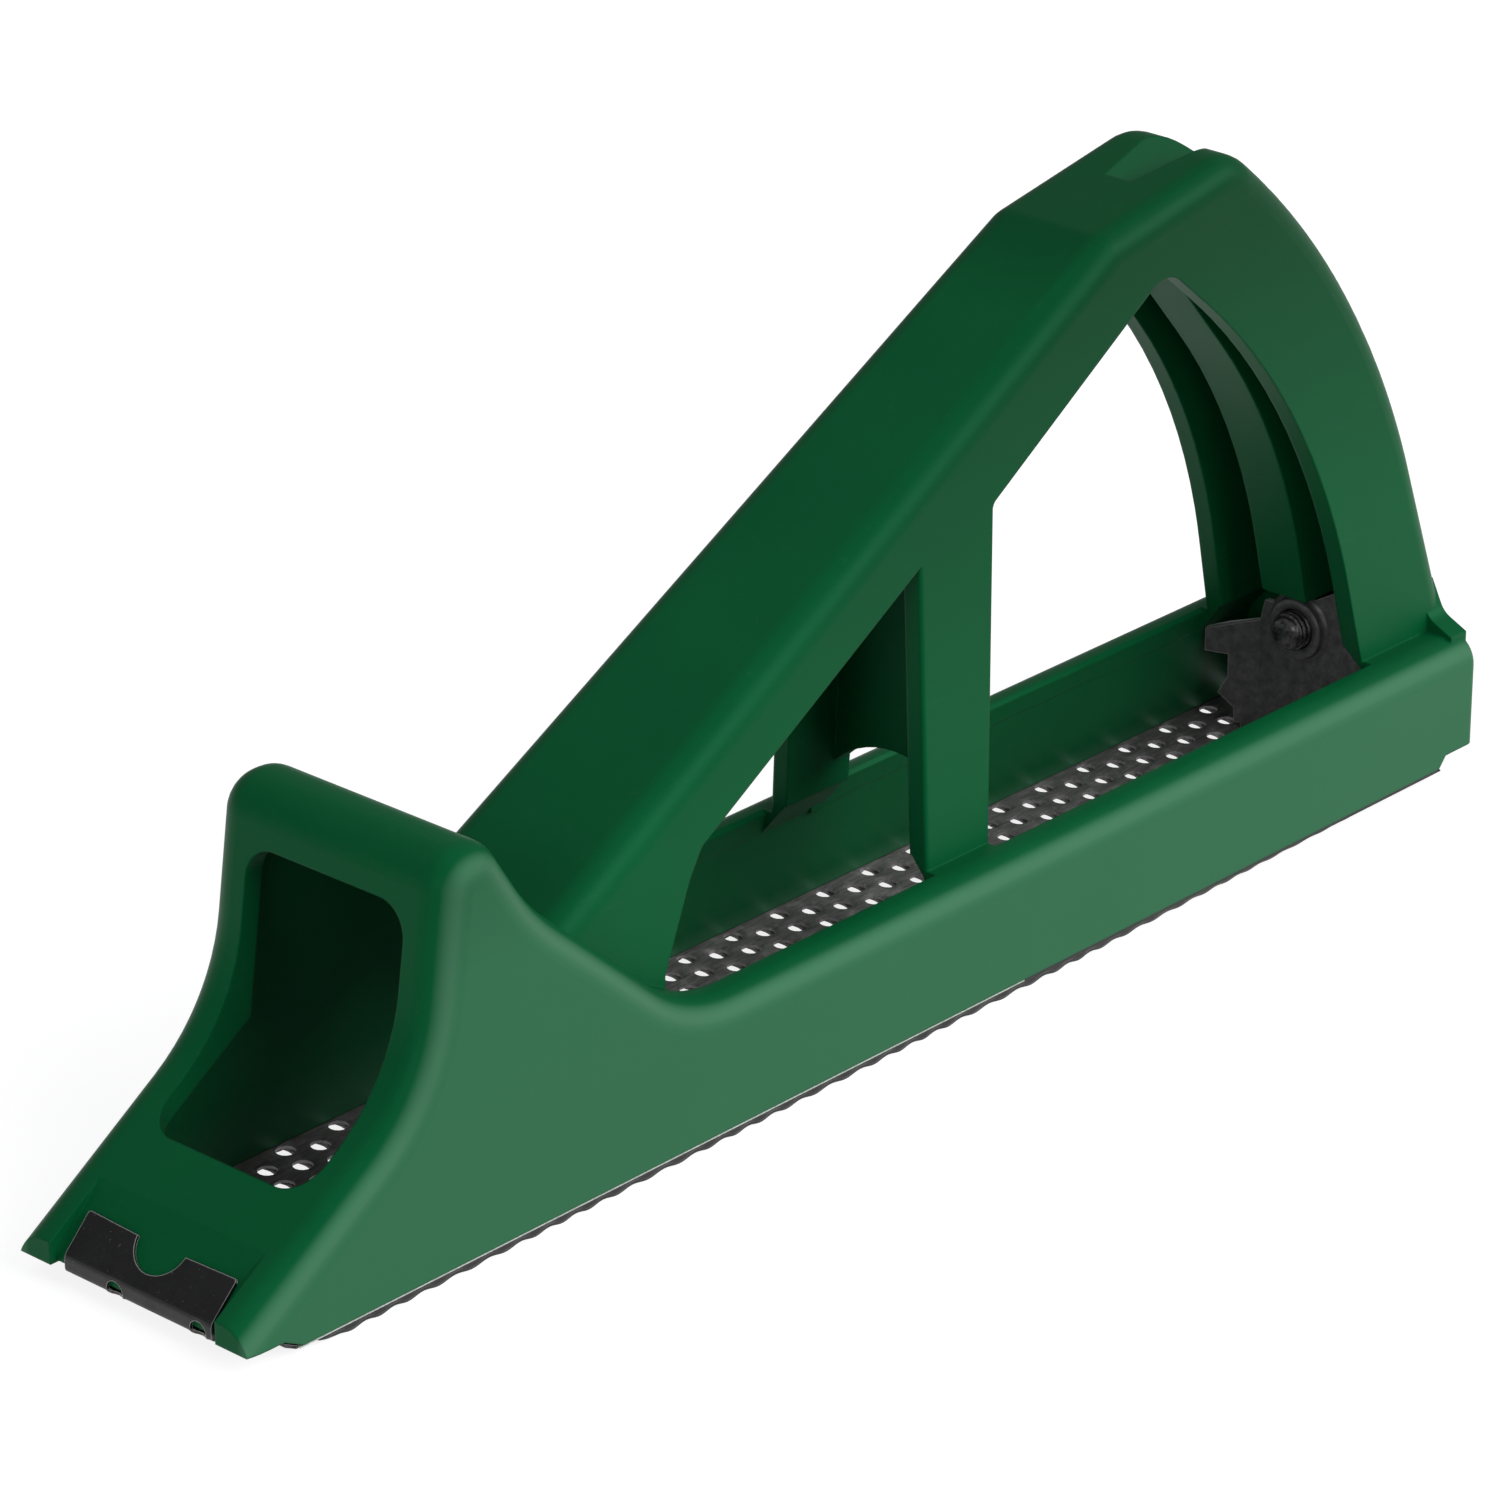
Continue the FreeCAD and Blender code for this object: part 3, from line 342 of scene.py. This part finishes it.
# The plain near-black oxide, kept on the bent front end and the outermost strip of each long
# edge; the grey above is partly a painted sheen.
plain_oxide_black = add(tree, "ShaderNodeMix", {"Factor": streak, "A": linear("#080808"),
                                    "B": linear("#131213")}, data_type="RGBA")
tone = add(tree, "ShaderNodeMix", {"Factor": field, "A": plain_oxide_black, "B": tone}, data_type="RGBA")
for share, grey in ((painted_edge_highlight, "#A39FA1"), (bare, "#8A8688")):
    tone = add(tree, "ShaderNodeMix", {"Factor": share, "A": tone, "B": linear(grey)},
               data_type="RGBA")
rough = add(tree, "ShaderNodeMapRange", {"Value": patch, "From Min": 0.3, "From Max": 0.7,
                                         "To Min": 0.5, "To Max": 0.3})
bump = add(tree, "ShaderNodeBump",
           {"Strength": 0.25, "Distance": 0.03 * mm, "Height": patch.outputs["Fac"]})
shader = add(tree, "ShaderNodeBsdfPrincipled",
             {"Base Color": tone, "Metallic": 0.2, "Roughness": rough, "Normal": bump})
add(tree, "ShaderNodeOutputMaterial", {"Surface": shader})
blade.data.materials.append(blued)
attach(blade, "cutter")
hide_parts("blade")

# Teeth: the punch pushes the metal of each hole down into a small hollow claw, which stands on
# the rear half of the hole's rim and leans forward. They are part of the blade's own steel.
tooth_height, tooth_wall, tooth_above = 0.95 * mm, 0.16 * mm, 0.02 * mm
tooth_levels = ((1.42, 0.0, 0.0), (1.14, 0.0, 0.05), (1.08, 0.04, 0.62), (1.04, 0.14, 1.0))
tooth_sides, tooth_spread, tooth_slope = 8, 64, 0.75


def bridge(form, a, b, closed=True):
    """Joins two rows of points with a strip of faces, and returns the faces."""
    count = len(a)
    return [form.faces.new((a[k], a[(k + 1) % count], b[(k + 1) % count], b[k]))
            for k in range(count if closed else count - 1)]


claws = bmesh.new()
for x, y in holes:
    rows = []
    for level, (reach, lean, share) in enumerate(tooth_levels):
        row = []
        for k in range(tooth_sides + 1):
            angle = math.radians(-tooth_spread + 2 * tooth_spread * k / tooth_sides)
            crest = 1 - abs(2 * k / tooth_sides - 1) * tooth_slope
            depth = share * tooth_height * (crest if level > 1 else 1)
            row.append(claws.verts.new((
                x + hole_radius * (reach * math.cos(angle) - lean * crest),
                y + hole_radius * reach * math.sin(angle),
                blade_top - sheet + tooth_above - min(depth, blade_top - sheet))))
        rows.append(row)
    for a, b in zip(rows, rows[1:]):
        bridge(claws, a, b, closed=False)
bmesh.ops.recalc_face_normals(claws, faces=claws.faces)
teeth = shown("struck_teeth", claws, smooth=True)
wall = teeth.modifiers.new("wall", "SOLIDIFY")
wall.thickness = tooth_wall
wall.offset = -1.0
teeth.data.materials.append(blued)
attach(teeth, "cutter")

# Turned edges: both long edges of the blade are pressed down into a scalloped skirt of the same
# steel, which shows below the moulding from the side and grows shallower toward the heel.
blade_half = 20.9 * mm
skirt_front, skirt_rear, scallop = -113 * mm, 117 * mm, 5.45 * mm
skirt_top, skirt_bottom = 1.3 * mm, 1.05 * mm
shallow_from, shallow_run, rise_run = 100 * mm, 70 * mm, 3 * mm
skirt_count = 400
skirt = bmesh.new()
for side in (-1, 1):
    rows = []
    for k in range(skirt_count + 1):
        x = skirt_front + (skirt_rear - skirt_front) * k / skirt_count
        fade = min(1.0, max(0.0, (shallow_from - x) / shallow_run))
        rise = min(1.0, (x - skirt_front) / rise_run)
        wave = 0.5 + 0.5 * math.sin(2 * math.pi * x / scallop + 0.7 * math.sin(x / scallop))
        low = skirt_bottom - rise * fade * (0.62 + 0.31 * wave) * mm - 0.1 * mm * wave
        bulge = (0.16 * wave - 0.08) * mm * fade
        rows.append([skirt.verts.new((x, side * (blade_half - inset), z))
                     for inset, z in ((0.5 * mm, skirt_top), (0.02 * mm, skirt_top - 0.02 * mm),
                                      (0.04 * mm, skirt_bottom),
                                      (0.12 * mm - bulge, (low + skirt_bottom) / 2),
                                      (0.2 * mm, low), (0.7 * mm, low + 0.03 * mm),
                                      (0.8 * mm, skirt_bottom))])
    for a, b in zip(rows, rows[1:]):
        bridge(skirt, a, b)
    skirt.faces.new(rows[0])
    skirt.faces.new(rows[-1])
bmesh.ops.recalc_face_normals(skirt, faces=skirt.faces)
edges_down = shown("scalloped_edges", skirt)
edges_down.data.materials.append(blued)
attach(edges_down, "cutter")

# Rim of the blade: the top corner of the turned edge, tight under the rail. Along the toe half
# it is light bare steel, a painted highlight for the thin light line there, and along the heel
# half it is black.
rim_end, rim_change, rim_wide = 1.2 * mm, 22 * mm, 0.3 * mm
rim_top, rim_bottom = 1.5 * mm, 1.26 * mm
rim = bmesh.new()
for side in (-1, 1):
    line = [[rim.verts.new((x, side * (blade_half - inset), z))
             for inset, z in ((rim_wide, rim_top), (0, rim_top), (0, rim_bottom),
                              (rim_wide, rim_bottom))]
            for x in (blade_left + rim_end, rim_change, blade_right - rim_end)]
    for stretch in range(2):
        for face in bridge(rim, line[stretch], line[stretch + 1]):
            face.material_index = stretch
    rim.faces.new(line[0])
    rim.faces.new(line[2])
bmesh.ops.recalc_face_normals(rim, faces=rim.faces)
bright_rim = shown("painted_highlight_rim", rim)

# Bare ground steel: plain grey metal without oxide, light grey so that it reads as a thin light
# line: partly the bare metal of cut edges, partly a painted highlight. The real grit marks are
# finer than 0.1 mm; they are drawn at 0.3 mm so that they show.
bare_steel_and_highlight, tree = new_material("bare_steel_with_painted_highlight")
place = add(tree, "ShaderNodeTexCoord").outputs["Object"]
grit = add(tree, "ShaderNodeTexNoise", {"Vector": place, "Scale": 1 / (0.3 * mm), "Detail": 3.0})
ground_grit = add(tree, "ShaderNodeMapRange", {"Value": grit, "From Min": 0.35, "From Max": 0.65})
tone = add(tree, "ShaderNodeMix", {"Factor": ground_grit, "A": linear("#9AA39C"),
                                   "B": linear("#C3CBC4")}, data_type="RGBA")
shader = add(tree, "ShaderNodeBsdfPrincipled",
             {"Base Color": tone, "Metallic": 0.3, "Roughness": 0.35})
add(tree, "ShaderNodeOutputMaterial", {"Surface": shader})
bright_rim.data.materials.append(bare_steel_and_highlight)
bright_rim.data.materials.append(blued)
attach(bright_rim, "cutter")

# Tension clip: a plate pressed from 1 mm steel that stands across the trough. It has two wings
# that keep it straight between the rails, the far one bent a little forward, and two hooks in
# the slots of the blade.
clip_front, clip_back, clip_foot = 109 * mm, 110 * mm, 1.55
clip_outline = [(-9.9, 28.3), (1.2, 21.8), (6.5, 21.6), (7.3, 18.2), (15.6, 15.2), (15.6, 11.6),
                (12.1, 11.6), (12.1, 8.0), (13.5, 5.2), (11.0, 3.2), (11.0, 0.9),
                (9.9, 0.9), (9.9, -1.1), (7.1, -1.1), (7.1, 0.9),
                (-7.1, 0.9), (-7.1, -1.1), (-9.9, -1.1), (-9.9, 0.9), (-11.0, 0.9),
                (-11.0, 3.2), (-13.5, 5.2), (-12.1, 8.0), (-12.1, 11.6), (-15.6, 11.6),
                (-15.6, 15.2), (-9.9, 18.2)]
wing_bend, wing_side, wing_root, wing_curve = 2.4 * mm, 8.3, 0.88, 1.2
screw_z, bore_radius = 20.65 * mm, 4 * mm
around = 48


def plate_front(y):
    """The far wing is bent a little forward, and the rest of the plate is flat."""
    return clip_front - wing_bend * max(0.0, y / mm / wing_side - wing_root) ** wing_curve


plate_points, plate_edges = [], []
cut_along([(y * mm, (h + clip_foot) * mm) for y, h in clip_outline], plate_points, plate_edges)
cut_along([(bore_radius * math.cos(2 * math.pi * k / around),
            screw_z + bore_radius * math.sin(2 * math.pi * k / around))
           for k in range(around)], plate_points, plate_edges)
# Points spread over the far half of the plate let its wing bend evenly.
plate_points += [Vector((y * 0.8 * mm, (z * 0.8 + 0.3) * mm))
                 for y in range(9, 20) for z in range(3, 36)]
flat = geometry.delaunay_2d_cdt(plate_points, plate_edges, [], 1, 1e-7)
press = bmesh.new()
corners = [press.verts.new((plate_front(p.x), p.x, p.y)) for p in flat[0]]
flat_sheet(press, flat, corners,
           lambda at: math.hypot(at.x, at.y - screw_z) > bore_radius - 0.1 * mm,
           Vector((-1, 0, 0)))
clip = shown("pressed_clip", press)
thick = clip.modifiers.new("sheet", "SOLIDIFY")
thick.thickness = clip_back - clip_front
thick.offset = -1.0
# The plate's cut edges get the light bare steel: partly bare metal, partly a painted highlight.
thick.material_offset_rim = 1

# Phosphated pressed steel: a dark grey, slightly mottled coat. It gives the eye a soft, broken
# glint and small bright rub marks, and its edges carry a painted highlight. The real crystals are
# near 0.02 mm; the marks they leave are drawn at 0.25 mm so that they show.
pressed, tree = new_material("phosphated_pressed_steel")
place = add(tree, "ShaderNodeTexCoord").outputs["Object"]
patch = add(tree, "ShaderNodeTexNoise",
            {"Vector": place, "Scale": 1 / (1.6 * mm), "Detail": 6.0, "Roughness": 0.7})
fine = add(tree, "ShaderNodeTexNoise",
           {"Vector": place, "Scale": 1 / (0.25 * mm), "Detail": 2.0})
mottled = add(tree, "ShaderNodeMapRange", {"Value": patch, "From Min": 0.3, "From Max": 0.7})
bare = add(tree, "ShaderNodeMapRange", {"Value": fine, "From Min": 0.66, "From Max": 0.76,
                                        "To Max": 0.35})
surface = add(tree, "ShaderNodeNewGeometry").outputs["Normal"]
# Painted highlight: a light grey along the plate's edges, where the Bevel normal turns away from
# the face's normal.
painted_edge_highlight = add(tree, "ShaderNodeBevel", {"Radius": 0.3 * mm}, samples=8)
painted_edge_highlight = add(tree, "ShaderNodeVectorMath", {0: painted_edge_highlight, 1: surface}, operation="DOT_PRODUCT")
painted_edge_highlight = add(tree, "ShaderNodeMapRange", {"Value": painted_edge_highlight.outputs["Value"], "From Min": 0.97,
                                        "From Max": 0.80})
tone = add(tree, "ShaderNodeMix", {"Factor": mottled, "A": linear("#403F41"),
                                   "B": linear("#686668")}, data_type="RGBA")
for share, grey in ((bare, "#7C797B"), (painted_edge_highlight, "#A39FA1")):
    tone = add(tree, "ShaderNodeMix", {"Factor": share, "A": tone, "B": linear(grey)},
               data_type="RGBA")
rough = add(tree, "ShaderNodeMapRange", {"Value": patch, "From Min": 0.3, "From Max": 0.7,
                                         "To Min": 0.56, "To Max": 0.4})
bump = add(tree, "ShaderNodeBump",
           {"Strength": 0.3, "Distance": 0.04 * mm, "Height": patch.outputs["Fac"]})
shader = add(tree, "ShaderNodeBsdfPrincipled",
             {"Base Color": tone, "Metallic": 0.35, "Roughness": rough, "Normal": bump})
add(tree, "ShaderNodeOutputMaterial", {"Surface": shader})
clip.data.materials.append(pressed)
clip.data.materials.append(bare_steel_and_highlight)
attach(clip, "clip")
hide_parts("tension_clip")

# Collar of the clip: drawn forward out of the plate round its bore and tapped for the screw.
# It is the plate's own steel, thinned to a rounded lip.
collar = [(109.04, 5.6), (108.9, 5.1), (108.6, 4.8), (108.2, 4.7), (107.95, 4.7), (107.72, 4.5),
          (107.7, 3.4), (107.95, 3.1), (109.8, 3.1), (109.98, 3.3), (109.98, 5.6)]


def turned(form, profile):
    """Rings of points round the screw's line, each given as (x, radius) round the ring."""
    return [[form.verts.new((x, r * math.cos(2 * math.pi * k / around),
                             screw_z + r * math.sin(2 * math.pi * k / around)))
             for k, (x, r) in enumerate(ring)] for ring in profile]


draw = bmesh.new()
rings = turned(draw, [[(x * mm, r * mm)] * around for x, r in collar])
for a, b in zip(rings, rings[1:] + rings[:1]):
    bridge(draw, a, b)
bmesh.ops.recalc_face_normals(draw, faces=draw.faces)
collar_ring = shown("drawn_collar", draw, smooth=True)
collar_ring.data.materials.append(pressed)
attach(collar_ring, "clip")

# Tension screw: turned steel with a thread of 1 mm pitch, blackened. Its domed end shows
# through the collar of the clip, and its slotted head is sunk in the heel of the body.
pitch = 1.0 * mm
start_x, dome, thread_end, neck = 104.82 * mm, 1.1 * mm, 120.8 * mm, 121.1 * mm
root_radius, thread_depth, neck_radius, runout = 2.55, 0.43, 2.98 * mm, 0.4 * mm
head = [(121.1, 2.98), (121.1, 4.6), (121.4, 5.0), (123.7, 5.0), (124.3, 4.5), (124.45, 3.6)]
driver_slot, driver_slot_x = (2.4 * mm, 1.1 * mm, 14 * mm), 124.45 * mm
profile = []
for k in range(7):
    angle = math.radians(90 * (k + 1) / 8)
    profile.append([(start_x + dome - dome * math.cos(angle),
                     root_radius * mm * math.sin(angle))] * around)
x = start_x + dome
while x < thread_end:
    ring = []
    for k in range(around):
        crest = 1 - abs((x / pitch + k / around) % 1.0 * 2 - 1)
        fade = min(1.0, (x - start_x - dome) / runout)
        ring.append((x, (root_radius + thread_depth * fade * min(1.0, crest * 1.35)) * mm))
    profile.append(ring)
    x += pitch / 8
profile.append([(neck, neck_radius)] * around)
rod = bmesh.new()
rings = turned(rod, profile)
tip = rod.verts.new((start_x, 0, screw_z))
for k in range(around):
    rod.faces.new((tip, rings[0][k], rings[0][(k + 1) % around]))
for a, b in zip(rings, rings[1:]):
    bridge(rod, a, b)
rings = turned(rod, [[(x * mm, r * mm)] * around for x, r in head])
for a, b in zip(rings, rings[1:]):
    bridge(rod, a, b)
rod.faces.new(rings[-1])
bmesh.ops.recalc_face_normals(rod, faces=rod.faces)
screw = shown("turned_screw", rod, smooth=True)

# The driver's slot is cut across the head.
block = bmesh.new()
bmesh.ops.create_cube(block, size=1.0)
bmesh.ops.scale(block, vec=driver_slot, verts=block.verts)
bmesh.ops.translate(block, vec=(driver_slot_x, 0, screw_z), verts=block.verts)
slot_shape = shown("slot_shape", block)
slot_cut = screw.modifiers.new("slot", "BOOLEAN")
slot_cut.operation = "DIFFERENCE"
slot_cut.solver = "EXACT"
slot_cut.object = slot_shape
bpy.context.view_layer.update()
shaped = bpy.data.meshes.new_from_object(screw.evaluated_get(
    bpy.context.evaluated_depsgraph_get()))
screw.modifiers.clear()
screw.data = shaped
bpy.data.objects.remove(slot_shape)

# Blackened turned steel: the tool's fine rings show through a thin oxide, so it glints in
# bands. The real rings are finer than 0.1 mm; they are drawn at 0.2 mm so that they show.
turned_steel, tree = new_material("blackened_turned_steel")
place = add(tree, "ShaderNodeTexCoord").outputs["Object"]
round_about = add(tree, "ShaderNodeMapping", {"Vector": place, "Scale": (1.0, 0.3, 0.3)})
tool_rings = add(tree, "ShaderNodeTexNoise",
                 {"Vector": round_about, "Scale": 1 / (0.2 * mm), "Detail": 3.0})
ringed = add(tree, "ShaderNodeMapRange", {"Value": tool_rings, "From Min": 0.35,
                                          "From Max": 0.65})
tone = add(tree, "ShaderNodeMix", {"Factor": ringed, "A": linear("#343234"),
                                   "B": linear("#6A6769")}, data_type="RGBA")
rough = add(tree, "ShaderNodeMapRange", {"Value": tool_rings, "From Min": 0.3, "From Max": 0.7,
                                         "To Min": 0.42, "To Max": 0.3})
shader = add(tree, "ShaderNodeBsdfPrincipled",
             {"Base Color": tone, "Metallic": 0.8, "Roughness": rough})
add(tree, "ShaderNodeOutputMaterial", {"Surface": shader})
screw.data.materials.clear()
screw.data.materials.append(turned_steel)
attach(screw, "screw")
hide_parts("tension_screw")

# Table: a pale matt top that the plane stands on. It shows as white to the camera and in
# reflections, keeps the plane's soft shadow, and throws only a little light back up.
table_half, table_gap = 4, 0.05 * mm
table_mesh = bpy.data.meshes.new("table_top")
table_mesh.from_pydata([(-table_half, -table_half, 0), (table_half, -table_half, 0),
                        (table_half, table_half, 0), (-table_half, table_half, 0)],
                       [], [(0, 1, 2, 3)])
table_top = bpy.data.objects.new("table_top", table_mesh)
table_top.location.z = -table_gap
bpy.context.scene.collection.objects.link(table_top)
pale, tree = new_material("pale_table_top")
path = add(tree, "ShaderNodeLightPath").outputs
direct = add(tree, "ShaderNodeMath", {0: path["Is Glossy Ray"], 1: path["Is Transmission Ray"]},
             operation="MAXIMUM")
direct = add(tree, "ShaderNodeMath", {0: path["Is Camera Ray"], 1: direct}, operation="MAXIMUM")
matt = add(tree, "ShaderNodeBsdfDiffuse", {"Color": (0.5, 0.5, 0.5, 1)})
seen = add(tree, "ShaderNodeBsdfDiffuse", {"Color": (0.28, 0.28, 0.28, 1)})
glow = add(tree, "ShaderNodeEmission", {"Color": (1, 1, 1, 1), "Strength": 0.84})
lit = add(tree, "ShaderNodeAddShader", {0: seen, 1: glow})
mixed = add(tree, "ShaderNodeMixShader", {0: direct, 1: matt, 2: lit})
add(tree, "ShaderNodeOutputMaterial", {"Surface": mixed})
table_top.data.materials.append(pale)

# Studio: even white surroundings and four soft lamps. The front and heel ones light the near
# flank, and the toe and sky ones fill the ramp and the top.
world = bpy.data.worlds.new("studio")
bpy.context.scene.world = world
world.use_nodes = True
tree = world.node_tree
tree.nodes.clear()
path = add(tree, "ShaderNodeLightPath").outputs
air = add(tree, "ShaderNodeBackground", {"Color": (0.95, 0.98, 1, 1), "Strength": 0.27})
white = add(tree, "ShaderNodeBackground", {"Color": (1, 1, 1, 1), "Strength": 1.0})
mixed = add(tree, "ShaderNodeMixShader", {0: path["Is Camera Ray"], 1: air, 2: white})
add(tree, "ShaderNodeOutputWorld", {"Surface": mixed})
for name, at, aim, wide, high, watts in (
        ("front_softbox", (0.25, -1.35, 0.95), (0.02, 0, 0.03), 1.4, 0.9, 22),
        ("heel_softbox", (1.12, -0.84, 0.86), (0, 0, 0.04), 0.55, 0.55, 7),
        ("sky_softbox", (-0.45, 0.1, 1.5), (0, 0, 0), 1.2, 1.2, 3),
        ("toe_softbox", (-1.5, -0.5, 0.6), (0, 0, 0.04), 0.9, 0.8, 6)):
    light = bpy.data.lights.new(name, "AREA")
    light.shape = "RECTANGLE"
    light.size, light.size_y, light.energy = wide, high, watts
    lamp = bpy.data.objects.new(name, light)
    lamp.location = at
    lamp.rotation_euler = (Vector(aim) - Vector(at)).to_track_quat("-Z", "Y").to_euler()
    bpy.context.scene.collection.objects.link(lamp)

# Camera: a long lens from beyond the toe, looking down on the near flank.
looks_down, looks_round = math.radians(24.25), math.radians(-47.67)
camera_data = bpy.data.cameras.new("camera")
camera_data.lens, camera_data.sensor_width = 156.8, 36
camera = bpy.data.objects.new("camera", camera_data)
camera.location = (-599.09 * mm, -535.62 * mm, 399.07 * mm)
camera.rotation_euler = (math.radians(90) - looks_down, 0, looks_round)
bpy.context.scene.collection.objects.link(camera)
bpy.context.scene.camera = camera
bpy.context.scene.view_settings.view_transform = "Standard"
